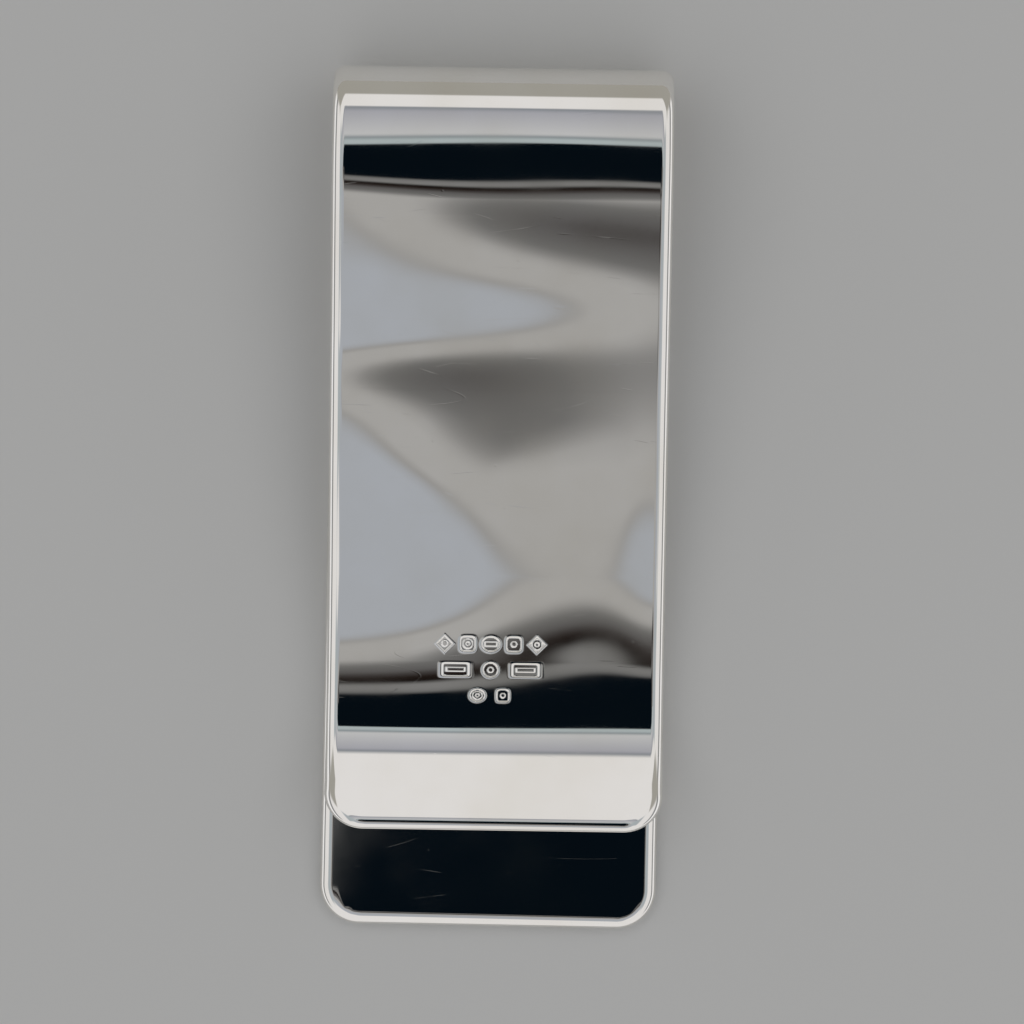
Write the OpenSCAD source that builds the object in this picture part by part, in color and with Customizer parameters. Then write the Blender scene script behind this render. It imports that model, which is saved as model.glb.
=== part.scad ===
// Spring money clip, bent from one strip of silver.
// The strip runs along a flat front plate, turns back in a U-shaped fold, rises to a crest, and
// comes down as a leg that pinches the plate. Past the pinch line it flares up as a lip.
// The plate lies on z = 0 with its free end towards -Y and the fold towards +Y.
// The elastic strip is split where it flexes: each flex line is a round knuckle in a groove.

/* [Overall] */
// Length from the front plate's free end to the outside of the fold
clip_l = 54; // [52:0.5:60]
// Height of the crest above the table
clip_h = 6.8; // [6.6:0.1:7]

/* [Strip] */
// Width of the strip
strip_w = 21.2; // [16:0.1:26]
// Thickness of the strip, whose long edges are fully rounded
strip_t = 1; // [0.8:0.05:1.1]
// Corner radius at both free ends, seen from above
corner_r = 2.5; // [1.5:0.1:2.8]

/* [Fold] */
// Distance of the crest's top line from the outside of the fold
crest_d = 6.1; // [6:0.1:6.3]
// Centreline radius of the crest
crest_r = 14.5; // [14:0.5:15]
// Angle of the crest's arc on the fold side of its top
crest_turn = 12.5; // [12:0.5:14]

/* [Leg] */
// Centreline radius of the long curve that eases the leg into the pinch bend
ease_r = 60; // [50:5:65]
// Sideways lean of the leg about the fold, seen from above
leg_skew = 0.3; // [-0.5:0.1:0.5]

/* [Pinch and lip] */
// Distance of the pinch line from the front plate's free end
pinch_d = 15; // [13:0.5:16]
// Gap between the leg and the plate at the pinch line
pinch_gap = 0.12; // [0.1:0.01:0.15]
// Centreline radius of the pinch bend
pinch_r = 25.5; // [22:0.5:27]
// Slope of the pinch bend where it meets the leg's long curve
pinch_entry = 4; // [3:0.5:5]
// Angle that the pinch bend turns past its lowest line
pinch_exit = 4.5; // [3:0.5:6]
// Centreline radius of the bend into the lip
lip_r = 10.5; // [9:0.5:13]
// Angle of the lip above the table
lip_angle = 27; // [20:1:35]
// Straight length of the lip with its rounded end
lip_l = 3.1; // [3:0.1:6]

/* [Flex lines] */
// Distance of the first flex line in the leg from the end of the crest's arc
crest_flex_d = 1; // [0.8:0.1:1.5]
// Running clearance of a knuckle in its groove
knuckle_gap = 0.03; // [0.02:0.01:0.05]

/* [Hidden] */
$fn = 96;

edge_r = strip_t / 2;

// Points are [y, z] on the strip's middle surface, and angles turn from +Y towards +Z.
fold_y = clip_l / 2 - edge_r;
crest_z = clip_h - edge_r;
pinch_y = pinch_d - clip_l / 2;
pinch_z = strip_t + pinch_gap + edge_r;
plate_y = corner_r - clip_l / 2;

crest_y = clip_l / 2 - crest_d;

// The shoulder's radius makes the crest's arc run on to the outside of the fold.
shoulder_r = (fold_y - crest_y - crest_r * sin(crest_turn)) / (1 - sin(crest_turn));
fold_z = crest_z - crest_r * (1 - cos(crest_turn)) - shoulder_r * cos(crest_turn);
heel_r = fold_z - edge_r;

function on_arc(centre, r, angle) = centre + r * [cos(angle), sin(angle)];
function ahead(point, heading, distance) = on_arc(point, distance, heading);

heel_y = fold_y - heel_r;
crest_c = [crest_y, crest_z - crest_r];
pinch_c = [pinch_y, pinch_z + pinch_r];
lip_c = on_arc(pinch_c, pinch_r - lip_r, -90 - pinch_exit);

// The leg is the line that touches the crest's arc from above and the long curve from below.
ease_c = on_arc(pinch_c, pinch_r - ease_r, pinch_entry - 90);
centres = crest_c - ease_c;
bends_r = crest_r + ease_r;
leg_l = sqrt(centres * centres - pow(bends_r, 2));
leg_slope = atan2(centres[1], centres[0]) + atan2(bends_r, leg_l);

leg_heading = 180 + leg_slope;
lip_heading = 180 - lip_angle;
leg_start = on_arc(crest_c, crest_r, 90 + leg_slope);
ease_end = on_arc(pinch_c, pinch_r, pinch_entry - 90);
lip_start = on_arc(lip_c, lip_r, -90 - lip_angle);

// The three flex lines, which run across the strip
fold_flex = [fold_y, fold_z];
crest_flex = ahead(leg_start, leg_heading, crest_flex_d);
leg_flex = ahead(leg_start, leg_heading, leg_l / 2);

// The strip's cross-section: width along x, thickness along y, half-round edges
module section() {
    square([strip_w - strip_t, strip_t], center = true);
    for (side = [-1, 1])
        translate([side * (strip_w - strip_t) / 2, 0])
            circle(edge_r);
}

// Places the strip's own frame: +Y runs on along the strip and +Z is on its left
module at(point, heading) {
    translate([0, point[0], point[1]])
        rotate([heading, 0, 0])
            children();
}

// A flat run of the strip, ahead of the frame or, with a negative length, behind it
module straight(length) {
    translate([0, min(length, 0), 0])
        rotate([-90, 0, 0])
            linear_extrude(abs(length))
                section();
}

// A bend to the left, or with a negative radius to the right; a negative turn runs back
module bend(r, turn) {
    side = sign(r);
    translate([0, 0, r])
        rotate([90, 0, 90])
            rotate(-90 * side)
                rotate_extrude(angle = turn * side)
                    translate([abs(r), 0])
                        rotate(90)
                            section();
}

// Half of the section turned about a flex line; way is 1 where it bulges ahead, -1 behind
module knuckle(way) {
    rotate([90, 0, 90])
        rotate(-90 * way)
            rotate_extrude(angle = 180)
                intersection() {
                    rotate(90) section();
                    translate([0, -strip_w]) square(2 * strip_w);
                }
}

// The round groove that holds a knuckle
module groove() {
    rotate([0, 90, 0])
        cylinder(r = edge_r + knuckle_gap, h = 2 * strip_w, center = true);
}

// Half of the strip's thickness profile, which ends in a half circle
module end_profile() {
    translate([0, -edge_r]) square([corner_r - edge_r, strip_t]);
    translate([corner_r - edge_r, 0]) circle(edge_r);
}

// The last stretch of the strip, with two rounded corners and a half-round end
module rounded_end() {
    reach = strip_w / 2 - corner_r;
    rotate([90, 0, 90])
        linear_extrude(2 * reach, center = true)
            end_profile();
    for (side = [0, 1])
        translate([(1 - 2 * side) * reach, 0, 0])
            rotate(90 * side)
                rotate_extrude(angle = 90)
                    end_profile();
}

// Everything above the fold's flex line leans sideways about the fold.
module leaning() {
    translate([0, fold_y, 0])
        rotate(leg_skew)
            translate([0, -fold_y, 0])
                children();
}

module front_plate() {
    color("silver")
        at([plate_y, edge_r], 180) {
            straight(plate_y - heel_y);
            rounded_end();
        }
}

module fold_heel() {
    color("silver")
        difference() {
            at(fold_flex, 90) bend(heel_r, -90);
            leaning() at(fold_flex, 90) groove();
        }
}

module fold_shoulder() {
    color("silver")
        leaning()
            at(fold_flex, 90) {
                knuckle(-1);
                bend(shoulder_r, 90 - crest_turn);
            }
}

module crest() {
    color("silver")
        leaning()
            at(crest_flex, leg_heading) {
                knuckle(1);
                straight(-crest_flex_d);
                translate([0, -crest_flex_d, 0]) bend(crest_r, -crest_turn - leg_slope);
            }
}

module leg_upper() {
    length = leg_l / 2 - crest_flex_d;
    color("silver")
        leaning()
            at(leg_flex, leg_heading) {
                knuckle(1);
                difference() {
                    straight(-length);
                    translate([0, -length, 0]) groove();
                }
            }
}

module leg_lower() {
    color("silver")
        leaning()
            at(leg_flex, leg_heading)
                difference() {
                    straight(leg_l / 2);
                    groove();
                }
}

module pinch_bend() {
    color("silver")
        leaning()
            at(ease_end, 180 + pinch_entry) {
                bend(-ease_r, pinch_entry - leg_slope);
                bend(-pinch_r, pinch_entry + pinch_exit);
            }
}

module thumb_lip() {
    color("silver")
        leaning()
            at(lip_start, lip_heading) {
                bend(-lip_r, pinch_exit - lip_angle);
                straight(lip_l - corner_r);
                translate([0, lip_l - corner_r, 0]) rounded_end();
            }
}

front_plate();
fold_heel();
fold_shoulder();
crest();
leg_upper();
leg_lower();
pinch_bend();
thumb_lip();
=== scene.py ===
import math

import bpy
import numpy as np
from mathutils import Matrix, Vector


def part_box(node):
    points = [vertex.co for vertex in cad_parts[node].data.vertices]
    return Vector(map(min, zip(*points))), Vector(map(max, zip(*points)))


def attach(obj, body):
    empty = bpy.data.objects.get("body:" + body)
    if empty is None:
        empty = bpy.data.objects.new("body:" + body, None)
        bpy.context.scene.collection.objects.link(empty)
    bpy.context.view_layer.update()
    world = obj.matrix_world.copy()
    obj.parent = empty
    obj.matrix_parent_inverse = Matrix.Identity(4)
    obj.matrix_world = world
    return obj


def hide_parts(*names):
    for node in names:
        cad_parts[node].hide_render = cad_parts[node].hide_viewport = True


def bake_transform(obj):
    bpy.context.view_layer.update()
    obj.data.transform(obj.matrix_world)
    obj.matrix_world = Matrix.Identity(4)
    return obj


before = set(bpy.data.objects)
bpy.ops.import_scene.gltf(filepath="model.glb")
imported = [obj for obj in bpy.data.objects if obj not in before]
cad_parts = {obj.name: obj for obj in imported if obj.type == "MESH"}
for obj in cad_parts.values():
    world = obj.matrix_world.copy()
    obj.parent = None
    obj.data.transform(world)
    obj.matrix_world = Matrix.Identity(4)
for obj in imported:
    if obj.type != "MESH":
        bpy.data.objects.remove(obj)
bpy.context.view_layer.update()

# Spring money clip, bent from one strip of polished sterling silver.
# Lengths are in millimetres and angles in degrees until a mesh, node or light takes them.
# Points [y, z] lie on the strip's middle surface; angles turn from +Y towards +Z.
MM = 0.001

# ---- The strip, from the frame ----
plate_low, plate_high = (np.array(corner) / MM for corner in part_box("front_plate"))
clip_l = (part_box("fold_heel")[1].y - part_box("front_plate")[0].y) / MM
clip_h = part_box("crest")[1].z / MM
strip_w = plate_high[0] - plate_low[0]
strip_t = plate_high[2] - plate_low[2]
corner_r = 2.5
half_w = strip_w / 2
half_t = strip_t / 2
# Width of the rounding that the mop leaves along every edge
round_w = 0.8

# ---- Bends ----
crest_d = 6.1
crest_r = 14.5
crest_turn = 12.5
ease_r = 60
leg_skew = 0.3
pinch_d = 15
pinch_gap = 0.12
pinch_r = 25.5
pinch_entry = 4
pinch_exit = 4.5
lip_r = 10.5
lip_angle = 27
lip_l = 3.1
crest_flex_d = 1


def on_arc(centre, r, angle):
    """The point of a circle of radius r at an angle."""
    turn = math.radians(angle)
    return np.array(centre) + r * np.array([math.cos(turn), math.sin(turn)])


fold_y = clip_l / 2 - half_t
crest_c = np.array([clip_l / 2 - crest_d, clip_h - half_t - crest_r])
turned = math.radians(crest_turn)
shoulder_r = (fold_y - crest_c[0] - crest_r * math.sin(turned)) / (1 - math.sin(turned))
fold_z = crest_c[1] + (crest_r - shoulder_r) * math.cos(turned)
heel_r = fold_z - half_t
pinch_c = np.array([pinch_d - clip_l / 2, strip_t + pinch_gap + half_t + pinch_r])
ease_c = on_arc(pinch_c, pinch_r - ease_r, pinch_entry - 90)
reach = crest_c - ease_c
leg_l = math.sqrt(reach @ reach - (crest_r + ease_r) ** 2)
leg_slope = math.degrees(math.atan2(reach[1], reach[0]) + math.atan2(crest_r + ease_r, leg_l))

# The strip from the plate's free end to the lip's: radius and turn of each bend, positive to
# the left, or 0 and the length of a straight run.
RUNS = [
    (0, clip_l / 2 + fold_y - heel_r),
    (heel_r, 90),
    (shoulder_r, 90 - crest_turn),
    (crest_r, crest_turn + leg_slope),
    (0, leg_l),
    (-ease_r, leg_slope - pinch_entry),
    (-pinch_r, pinch_entry + pinch_exit),
    (-lip_r, lip_angle - pinch_exit),
    (0, lip_l),
]
curve = np.array([1 / r if r else 0 for r, _ in RUNS])
lengths = np.array([abs(r) * math.radians(run) if r else run for r, run in RUNS])
starts = np.concatenate([[0], np.cumsum(lengths)])
headings = np.concatenate([[0], np.cumsum(curve * lengths)])


def centreline(s):
    """Where the strip's middle is at a distance s along it, its heading in radians and its curvature.
    Each run is a chord of length ds * sin(h) / h at half its turn h, and a straight run has h = 0."""
    run = np.clip(np.searchsorted(starts, s, side="right") - 1, 0, len(curve) - 1)
    ds = s - starts[run]
    half = curve[run] * ds / 2
    chord = ds * np.sinc(half / math.pi)
    y = places[run, 0] + chord * np.cos(headings[run] + half)
    z = places[run, 1] + chord * np.sin(headings[run] + half)
    return y, z, headings[run] + 2 * half, curve[run]


places = np.array([[-clip_l / 2, half_t]])
for stop in starts[1:-1]:
    joint_y, joint_z, _, _ = centreline(np.array(stop - 1e-9))
    places = np.vstack([places, [joint_y, joint_z]])

# Where each run ends
s_plate, s_fold, s_shoulder, s_crest, s_leg, _, s_pinch, _, s_end = starts[1:]
s_crest_flex = s_crest + crest_flex_d
s_leg_flex = s_crest + leg_l / 2


def smooth(low, high, t):
    """A smooth step from 0 at low to 1 at high: 3q^2 - 2q^3."""
    q = np.clip((t - low) / (high - low), 0, 1)
    return q * q * (3 - 2 * q)


# ---- Relief: the hand-polished hollows of the leg, and the punch marks ----
# Each mound or, below 0, hollow: place x and y, half-widths along its own two axes, height, turn
WAVES = [
    (-7, 1, 11, 6, 0.3, 10),
    (-6, 9.5, 12, 2.5, -0.12, 5),
    (4, 19, 12, 3, -0.1, -5),
    (0, -11, 16, 2.5, 0.07, 5),
    (-2, -6, 9, 5, 0.1, 0),
    (12, -4, 3, 6, 0.1, 0),
]


def waves(x, y):
    """Sum of smooth mounds, each height * exp(-u^2 - v^2) in its own turned axes."""
    total = np.zeros(np.broadcast(x, y).shape)
    for cx, cy, wide, long, height, turn in WAVES:
        c, s = math.cos(math.radians(turn)), math.sin(math.radians(turn))
        u = ((x - cx) * c + (y - cy) * s) / wide
        v = ((y - cy) * c - (x - cx) * s) / long
        total = total + height * np.exp(-u * u - v * v)
    return total


# Generic geometric punches in three rows: outline power, x, y, half-width, half-height, inner figure
PUNCH_DEPTH = 0.05
PUNCHES = [
    (1, -3.2, -9.1, 0.55, 0.55, "dot"),
    (4, -1.75, -9.1, 0.5, 0.5, "ring"),
    (2, -0.3, -9.1, 0.6, 0.5, "bar"),
    (4, 1.15, -9.1, 0.5, 0.5, "dot"),
    (1, 2.6, -9.1, 0.55, 0.55, "ring"),
    (8, -2.5, -10.75, 0.9, 0.45, "bar"),
    (2, -0.3, -10.75, 0.5, 0.5, "dot"),
    (8, 1.9, -10.75, 0.9, 0.45, "bar"),
    (2, -1.1, -12.4, 0.5, 0.42, "ring"),
    (4, 0.5, -12.4, 0.42, 0.42, "dot"),
]


# The plate's free end curls up a little from here
plate_bow = 0.0024
plate_bow_from = -17


def punches(x, y):
    """Sum of punch marks. Each is a sunk field inside |u|^p + |v|^p = 1 with a raised figure in it."""
    total = np.zeros(np.broadcast(x, y).shape)
    for power, cx, cy, wide, high, figure in PUNCHES:
        u = np.abs(x - cx) / wide
        v = np.abs(y - cy) / high
        field = (u**power + v**power) ** (1 / power)
        if figure == "dot":
            inner = np.hypot(u, v) - 0.25
        elif figure == "ring":
            inner = np.abs(np.hypot(u, v) - 0.42) - 0.1
        else:
            inner = np.maximum(v - 0.18, u - 0.55)
        sunk = 1 - smooth(0.82, 1.0, field)
        raised = 1 - smooth(0, 0.18, inner)
        burr = 0.25 * np.exp(-(((field - 1.06) / 0.1) ** 2))
        total = total + PUNCH_DEPTH * (burr - sunk * (1 - 0.9 * raised))
    return total


def relief(s, x, side):
    """How far a face stands out from the plain bent strip: the leg's hollows, on its outer face
    (side -1) the punch marks, and on the plate a bow of plate_bow * q^2 / 2, q past plate_bow_from."""
    y, _, _, _ = centreline(s)
    on_leg = smooth(s_fold, s_shoulder, s)
    bowed = np.maximum(plate_bow_from - y, 0) * (s < s_plate)
    marks = punches(x, y) * (s > s_leg) * (side < 0)
    return on_leg * (waves(x, y) + marks) - plate_bow * bowed**2 / 2


# ---- Meshes ----
def face_columns(step, fine=None):
    """Places across the strip from +1 to -1: close together on the rounded edges, where they
    follow 1 - cos, and then at equal steps; fine is a (reach, step) of finer ones in the middle."""
    edge = round_w * (1 - np.cos(np.linspace(0, math.pi / 2, 13)))
    inside = half_w - round_w
    if fine:
        flat = np.linspace(inside, fine[0], int((inside - fine[0]) / step) + 1)
        middle = np.linspace(fine[0], -fine[0], int(2 * fine[0] / fine[1]) + 1)
        across = np.concatenate([half_w - edge, flat[1:], middle[1:], -flat[-2::-1], edge[-2::-1] - half_w])
    else:
        flat = np.linspace(inside, -inside, int(2 * inside / step) + 1)
        across = np.concatenate([half_w - edge, flat[1:], edge[-2::-1] - half_w])
    return across / half_w


def rows_between(s0, s1, step):
    """Equal rows along the strip, with one at every change of bend."""
    stops = [s0, *[s for s in starts if s0 + 1e-6 < s < s1 - 1e-6], s1]
    parts = [np.linspace(a, b, max(2, int(round((b - a) / step)) + 1)) for a, b in zip(stops, stops[1:])]
    return np.concatenate([parts[0], *[p[1:] for p in parts[1:]]])


def shell(name, rows, outer, inner, free=0):
    """A closed length of the strip. Its rows run along it and its columns round the section: the
    outer face from +X to -X, then the inner one back. The half-thickness at a distance d inside the
    outline is half_t * sqrt(1 - q^2) with q = 1 - d / round_w, which is an ellipse at every edge.
    free is -1 or 1 where the first or the last row is a free end with two rounded corners."""
    if free:
        tip = rows[0] if free < 0 else rows[-1]
        corner = tip - free * corner_r
        sweep = np.sin(np.linspace(0, math.pi / 2, 33))
        end_rows = corner + free * corner_r * sweep
        kept = rows[(rows - corner) * free < -1e-6]
        rows = np.concatenate([end_rows[::-1], kept] if free < 0 else [kept, end_rows])
        beyond = np.maximum((rows - corner) * free, 0)
    else:
        beyond = np.zeros_like(rows)
    width = half_w - corner_r + np.sqrt(np.maximum(corner_r**2 - beyond**2, 0))
    across = np.concatenate([outer, inner[-2:0:-1]])
    side = np.concatenate([np.full(len(outer), -1.0), np.ones(len(inner) - 2)])
    s, u = np.meshgrid(rows, across, indexing="ij")
    x = u * width[:, None]
    over_x = np.maximum(np.abs(x) - (half_w - corner_r), 0)
    over_s = np.broadcast_to(beyond[:, None], x.shape)
    far = np.maximum(np.hypot(over_x, over_s), 1e-9)
    inside = np.clip((corner_r - far) / round_w, 0, 1)
    inside[:, [0, len(outer) - 1]] = 0
    if free:
        inside[0 if free < 0 else -1] = 0
    q = 1 - inside
    root = np.sqrt(1 - q * q)
    steep = half_t / round_w * q
    step = 1e-3
    rise = relief(s, x, side)
    rise_s = (relief(s + step, x, side) - relief(s - step, x, side)) / (2 * step)
    rise_x = (relief(s, x + step, side) - relief(s, x - step, side)) / (2 * step)
    off = side * half_t * root - rise
    y, z, heading, bend = centreline(s)
    along_n = (side * steep * over_s / far * free + root * rise_s) / (1 - bend * off)
    across_n = side * steep * over_x / far * np.sign(x) + root * rise_x
    tilt = np.radians(leg_skew) * smooth(s_plate, s_shoulder, s)
    ny = side * (along_n * np.cos(heading) - root * np.sin(heading))
    nz = side * (along_n * np.sin(heading) + root * np.cos(heading))
    nx = side * across_n
    py = y - off * np.sin(heading) - fold_y
    c, t = np.cos(tilt), np.sin(tilt)
    points = np.stack([x * c - py * t, fold_y + x * t + py * c, z + off * np.cos(heading)], -1)
    normals = np.stack([nx * c - ny * t, nx * t + ny * c, nz], -1)
    normals /= np.linalg.norm(normals, axis=-1, keepdims=True)

    index = np.arange(x.size).reshape(x.shape)
    if free:
        last = 0 if free < 0 else len(rows) - 1
        index[last, len(outer):] = index[last, len(outer) - 2:0:-1]
    ahead = np.roll(index, -1, axis=1)
    quads = np.stack([index[:-1], ahead[:-1], ahead[1:], index[1:]], -1).reshape(-1, 4)
    used, flat = np.unique(quads, return_inverse=True)
    faces = flat.reshape(-1, 4).tolist()
    place = np.full(x.size, -1)
    place[used] = np.arange(len(used))
    if free >= 0:
        faces.append(place[index[0]][::-1].tolist())
    if free <= 0:
        faces.append(place[index[-1]].tolist())
    mesh = bpy.data.meshes.new(f"polished_{name}")
    mesh.from_pydata((points.reshape(-1, 3)[used] * MM).tolist(), [], faces)
    mesh.shade_smooth()
    mesh.update()
    mesh.normals_split_custom_set_from_vertices(normals.reshape(-1, 3)[used].tolist())
    piece = bpy.data.objects.new(f"polished_{name}", mesh)
    bpy.context.scene.collection.objects.link(piece)
    return piece


step_flat = 0.25
plain = face_columns(0.4)
dense = face_columns(step_flat)
punched = face_columns(step_flat, fine=(4.2, 0.05))

front_plate = shell("front_plate", rows_between(0, s_plate, 0.5), plain, plain, free=-1)
fold_heel = shell("fold_heel", rows_between(s_plate, s_fold, 0.08), plain, plain)
fold_shoulder = shell("fold_shoulder", rows_between(s_fold, s_shoulder, 0.08), plain, plain)
crest = shell("crest", rows_between(s_shoulder, s_crest_flex, 0.12), dense, plain)
leg_upper = shell("leg_upper", rows_between(s_crest_flex, s_leg_flex, step_flat), dense, plain)
leg_lower = shell("leg_lower", rows_between(s_leg_flex, s_leg, step_flat), dense, plain)
pinch_bend = shell("pinch_bend", rows_between(s_leg, s_pinch, 0.05), punched, plain)
thumb_lip = shell("thumb_lip", rows_between(s_pinch, s_end, 0.1), plain, plain, free=1)


# ---- Materials and light ----
def linear(colour):
    """An sRGB hex value as linear red, green and blue."""
    parts = [int(colour[i : i + 2], 16) / 255 for i in (0, 2, 4)]
    return np.array([c / 12.92 if c <= 0.04045 else ((c + 0.055) / 1.055) ** 2.4 for c in parts])


def add(tree, kind, inputs=None, stops=None, **settings):
    """A node with its settings. An input takes a value or another node's output, and stops are a
    colour ramp's places and colours."""
    node = tree.nodes.new(kind)
    for key, value in settings.items():
        setattr(node, key, value)
    for key, value in (inputs or {}).items():
        if isinstance(value, bpy.types.NodeSocket):
            tree.links.new(value, node.inputs[key])
        else:
            node.inputs[key].default_value = value
    for number, (place, colour) in enumerate(stops or []):
        elements = node.color_ramp.elements
        element = elements[number] if number < 2 else elements.new(place)
        element.position = place
        element.color = (*colour, 1)
    return node


# Sterling silver, buffed with rouge: nearly white, a little warm
SILVER = "fcfaf6"
SILVER_WORN = "f6f3ec"
# Hairline scratches from handling: turn, spacing, length, thickness
HAIRLINES = [
    (18, 2.3, 14, 0.008),
    (-32, 2.9, 18, 0.007),
    (77, 2.1, 12, 0.008),
    (-81, 3.1, 16, 0.007),
]


def polished_silver(name, wear):
    """Sterling silver sheet, bent cold and buffed to a mirror on a mop. The eye sees a sharp, nearly
    colourless mirror, with hairline scratches and pin-prick dents that glint where it mirrors black,
    and patches where the polish is a little softer. wear is the depth of the scratches in microns."""
    material = bpy.data.materials.new(name)
    material.use_nodes = True
    tree = material.node_tree
    tree.nodes.clear()
    place = add(tree, "ShaderNodeTexCoord").outputs["Object"]

    height = None
    for number, (turn, spacing, long, thick) in enumerate(HAIRLINES):
        turned = add(tree, "ShaderNodeMapping", {
            "Vector": place,
            "Location": (number * 0.37, 0, 0),
            "Rotation": (0, 0, math.radians(turn)),
            "Scale": (1 / (long * MM), 1 / (spacing * MM), 1 / (long * MM)),
        }).outputs[0]
        field = add(tree, "ShaderNodeTexNoise", {"Vector": turned, "Scale": 1, "Detail": 0}).outputs[0]
        middle = add(tree, "ShaderNodeMath", {0: field, 1: 0.5}, operation="SUBTRACT").outputs[0]
        distance = add(tree, "ShaderNodeMath", {0: middle}, operation="ABSOLUTE").outputs[0]
        line = add(tree, "ShaderNodeMapRange", {
            0: distance, 1: 0, 2: thick / spacing, 3: 1, 4: 0,
        }, interpolation_type="SMOOTHSTEP").outputs[0]
        patch = add(tree, "ShaderNodeTexNoise", {
            "Vector": place, "Scale": 1 / (2.2 * MM), "Detail": 1, "W": number,
        }, noise_dimensions="4D").outputs[0]
        kept = add(tree, "ShaderNodeMapRange", {0: patch, 1: 0.58, 2: 0.72}).outputs[0]
        mark = add(tree, "ShaderNodeMath", {0: line, 1: kept}, operation="MULTIPLY").outputs[0]
        if height is None:
            height = mark
        else:
            height = add(tree, "ShaderNodeMath", {0: height, 1: mark}, operation="MAXIMUM").outputs[0]

    cell = add(tree, "ShaderNodeTexVoronoi", {"Vector": place, "Scale": 1 / (1.6 * MM)}).outputs["Distance"]
    dent = add(tree, "ShaderNodeMapRange", {0: cell, 1: 0.02, 2: 0.05, 3: 1, 4: 0}).outputs[0]
    height = add(tree, "ShaderNodeMath", {0: height, 1: dent}, operation="MAXIMUM").outputs[0]
    bump = add(tree, "ShaderNodeBump", {
        "Height": height, "Distance": wear * 1e-6, "Strength": 1,
    }, invert=True).outputs[0]

    cloud = add(tree, "ShaderNodeTexNoise", {"Vector": place, "Scale": 1 / (6 * MM), "Detail": 3}).outputs[0]
    rough = add(tree, "ShaderNodeMapRange", {0: cloud, 1: 0.35, 2: 0.7, 3: 0.02, 4: 0.06}).outputs[0]
    tone = add(tree, "ShaderNodeValToRGB", {0: cloud}, stops=[
        (0.35, linear(SILVER)), (0.75, linear(SILVER_WORN)),
    ]).outputs[0]
    shader = add(tree, "ShaderNodeBsdfPrincipled", {
        "Base Color": tone, "Metallic": 1, "Roughness": rough, "Normal": bump,
    }).outputs[0]
    add(tree, "ShaderNodeOutputMaterial", {"Surface": shader})
    return material


silver_plate = polished_silver("silver_plate_handled", 0.5)
silver_fold = polished_silver("silver_fold_buffed", 0.3)
silver_leg = polished_silver("silver_leg_buffed", 0.4)

# Each piece stands for the CAD node of its own name.
FINISHES = {
    "silver_plate": (silver_plate, [front_plate]),
    "silver_fold": (silver_fold, [fold_heel, fold_shoulder]),
    "silver_leg": (silver_leg, [crest, leg_upper, leg_lower, pinch_bend, thumb_lip]),
}
for slot_name, (material, made) in FINISHES.items():
    for piece in made:
        piece.data.materials.append(material)

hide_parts("front_plate")
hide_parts("fold_heel")
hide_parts("fold_shoulder")
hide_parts("crest")
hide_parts("leg_upper")
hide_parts("leg_lower")
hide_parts("pinch_bend")
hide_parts("thumb_lip")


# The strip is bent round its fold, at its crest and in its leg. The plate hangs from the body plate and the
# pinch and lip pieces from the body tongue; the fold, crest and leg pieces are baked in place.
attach(front_plate, "plate")
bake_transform(fold_heel)
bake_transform(fold_shoulder)
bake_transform(crest)
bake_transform(leg_upper)
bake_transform(leg_lower)
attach(pinch_bend, "tongue")
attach(thumb_lip, "tongue")

# Pale matt table top
floor_half = 30
floor_z = -0.00002
floor_mesh = bpy.data.meshes.new("floor")
floor_mesh.from_pydata(
    [(x * floor_half, y * floor_half, floor_z) for x, y in ((-1, -1), (1, -1), (1, 1), (-1, 1))],
    [], [(0, 1, 2, 3)],
)
floor = bpy.data.objects.new("floor", floor_mesh)
bpy.context.scene.collection.objects.link(floor)
table_top = bpy.data.materials.new("pale_matt_table_top")
table_top.use_nodes = True
matt = table_top.node_tree.nodes["Principled BSDF"]
matt.inputs["Base Color"].default_value = (*linear("d2d2d0"), 1)
matt.inputs["Roughness"].default_value = 0.7
floor_mesh.materials.append(table_top)

# ---- The light tent ----
# Soft white walls with grey seams, and a dark opening straight above. Each wall is given by the
# angle from straight up, in degrees, as it looks in the silver.
BLACK = "050c12"
WALL_BEHIND = [
    (0, BLACK), (6, BLACK), (6.4, "777674"), (8, "777674"), (8.4, "140f0c"), (9.6, "241c18"),
    (10.2, "555352"), (12.2, "6b6a68"), (13.6, "a3a19e"), (16.4, "a3a19e"), (17, "8e8c89"),
    (17.8, "a2a5aa"), (30, "a2a5aa"), (34, "dcd9d6"), (100, "dcd9d6"),
]
WALL_AHEAD = [
    (0, BLACK), (10, BLACK), (10.5, "a5aeaf"), (12.2, "a5aeaf"), (13.6, "7f8689"), (15, "bababa"),
    (27, "a0a0a6"), (29, "808489"), (31.5, "dcd9d6"), (55, "dcd9d6"), (58, "9b9890"), (100, "9b9890"),
]
WALL_BESIDE = [
    (0, BLACK), (7, BLACK), (9, "a5aeaf"), (26, "a0a5a8"), (30, "dcd9d6"), (56, "dcd9d6"),
    (60, "808080"), (68, "808080"), (72, "e8e6e4"), (100, "e8e6e4"), (110, "a0a0a0"),
]
# The side walls take over where a direction leans this many times as far across as along, and
# along counts as least_along or more.
corner_from = 0.9
corner_to = 1.6
least_along = 0.2
# The opening's edges bend away past its straight part, and the back wall hangs askew.
straight_part = 3
end_roundness = 1.6
slant = 1.5
slant_from = -4
slant_to = 2.5


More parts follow.
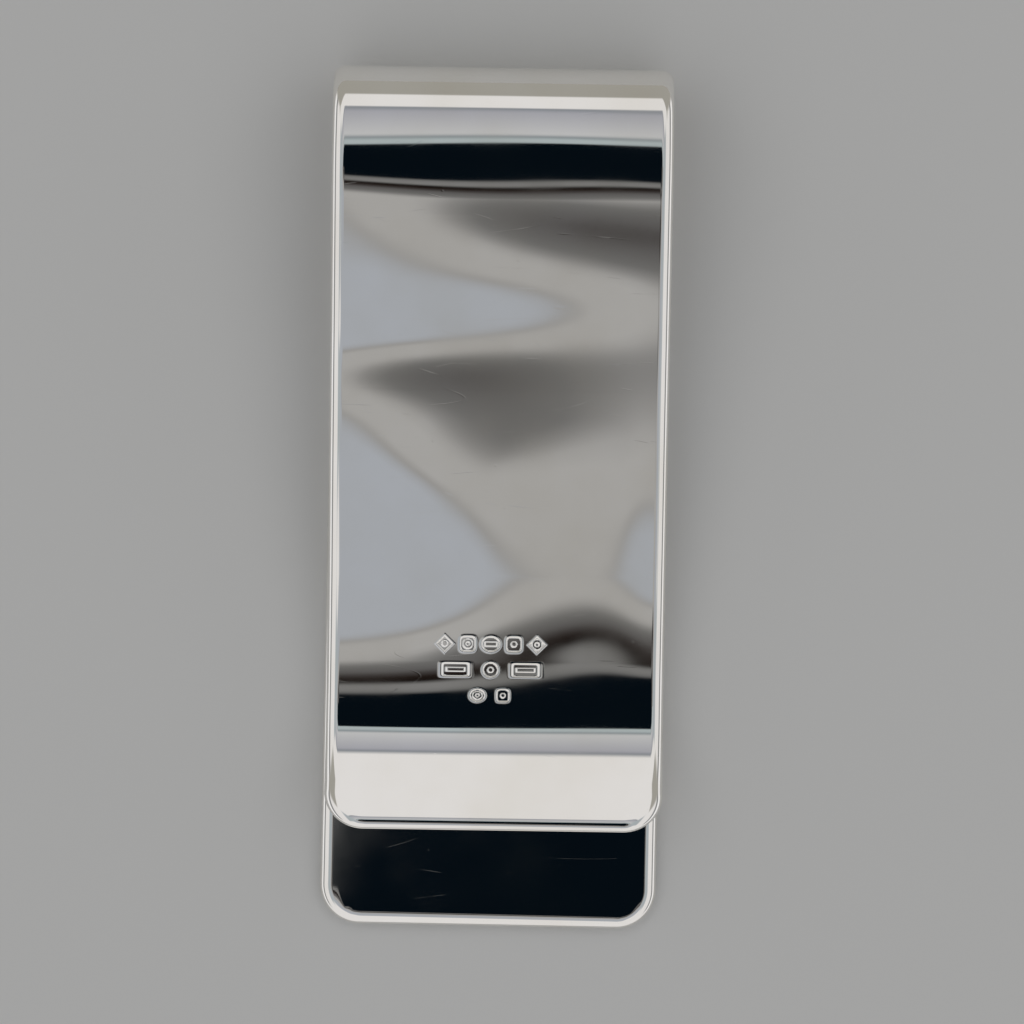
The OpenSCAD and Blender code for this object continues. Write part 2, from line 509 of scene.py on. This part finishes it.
def wall(tree, angle, beyond, stops):
    """A wall's colour. Angles from straight up that lie beyond the opening's straight part count as
    far as sqrt(angle^2 + beyond^2), which rounds the opening's ends."""
    both = add(tree, "ShaderNodeCombineXYZ", {0: angle, 1: beyond}).outputs[0]
    far = add(tree, "ShaderNodeVectorMath", {0: both}, operation="LENGTH").outputs["Value"]
    share = add(tree, "ShaderNodeMath", {0: far, 1: 180}, operation="DIVIDE").outputs[0]
    colours = [(degrees / 180, linear(colour) / linear(SILVER)) for degrees, colour in stops]
    return add(tree, "ShaderNodeValToRGB", {0: share}, stops=colours).outputs[0]


world = bpy.data.worlds.new("light_tent")
bpy.context.scene.world = world
world.use_nodes = True
sky = world.node_tree
sky.nodes.clear()
ray = add(sky, "ShaderNodeSeparateXYZ", {
    0: add(sky, "ShaderNodeTexCoord").outputs["Generated"],
}).outputs
tilts = [
    add(sky, "ShaderNodeMath", {0: ray[axis], 1: ray[2]}, operation="ARCTAN2").outputs[0]
    for axis in (0, 1)
]
sideways, ahead = [
    add(sky, "ShaderNodeMath", {0: tilt, 1: math.degrees(1)}, operation="MULTIPLY").outputs[0]
    for tilt in tilts
]
beside = add(sky, "ShaderNodeMath", {0: sideways}, operation="ABSOLUTE").outputs[0]
past = add(sky, "ShaderNodeMath", {0: beside, 1: straight_part}, operation="SUBTRACT").outputs[0]
past = add(sky, "ShaderNodeMath", {0: past, 1: 0}, operation="MAXIMUM").outputs[0]
past = add(sky, "ShaderNodeMath", {0: past, 1: end_roundness}, operation="MULTIPLY").outputs[0]
askew = add(sky, "ShaderNodeMapRange", {
    0: sideways, 1: slant_from, 2: slant_to, 3: slant_from * slant, 4: slant_to * slant,
}).outputs[0]
behind = add(sky, "ShaderNodeMath", {0: ahead, 1: askew}, operation="ADD").outputs[0]
behind = add(sky, "ShaderNodeMath", {0: behind, 1: 0}, operation="MINIMUM").outputs[0]
back_wall = wall(sky, behind, past, WALL_BEHIND)
front_wall = wall(sky, ahead, past, WALL_AHEAD)
side_wall = wall(sky, beside, 0, WALL_BESIDE)
is_ahead = add(sky, "ShaderNodeMath", {0: ahead, 1: 0}, operation="GREATER_THAN").outputs[0]
long_way = add(sky, "ShaderNodeMix", {0: is_ahead, 6: back_wall, 7: front_wall}, data_type="RGBA").outputs[2]
across = add(sky, "ShaderNodeMath", {0: ray[0]}, operation="ABSOLUTE").outputs[0]
along = add(sky, "ShaderNodeMath", {0: ray[1]}, operation="ABSOLUTE").outputs[0]
along = add(sky, "ShaderNodeMath", {0: along, 1: least_along}, operation="MAXIMUM").outputs[0]
ratio = add(sky, "ShaderNodeMath", {0: across, 1: along}, operation="DIVIDE").outputs[0]
turning = add(sky, "ShaderNodeMapRange", {
    0: ratio, 1: corner_from, 2: corner_to,
}, interpolation_type="SMOOTHSTEP").outputs[0]
tent = add(sky, "ShaderNodeMix", {0: turning, 6: long_way, 7: side_wall}, data_type="RGBA").outputs[2]
background = add(sky, "ShaderNodeBackground", {"Color": tent, "Strength": 1}).outputs[0]
add(sky, "ShaderNodeOutputWorld", {"Surface": background})
bpy.context.scene.view_settings.view_transform = "Standard"

# ---- Camera: straight down from 0.3 m, turned a little ----
lens = bpy.data.cameras.new("overhead")
lens.sensor_width = 36
lens.lens = 166.6
lens.clip_start = 0.01
camera = bpy.data.objects.new("overhead", lens)
camera.location = (1.043 * MM, -0.831 * MM, 300 * MM)
camera.rotation_euler = (0, 0, math.radians(1.17))
bpy.context.scene.collection.objects.link(camera)
bpy.context.scene.camera = camera
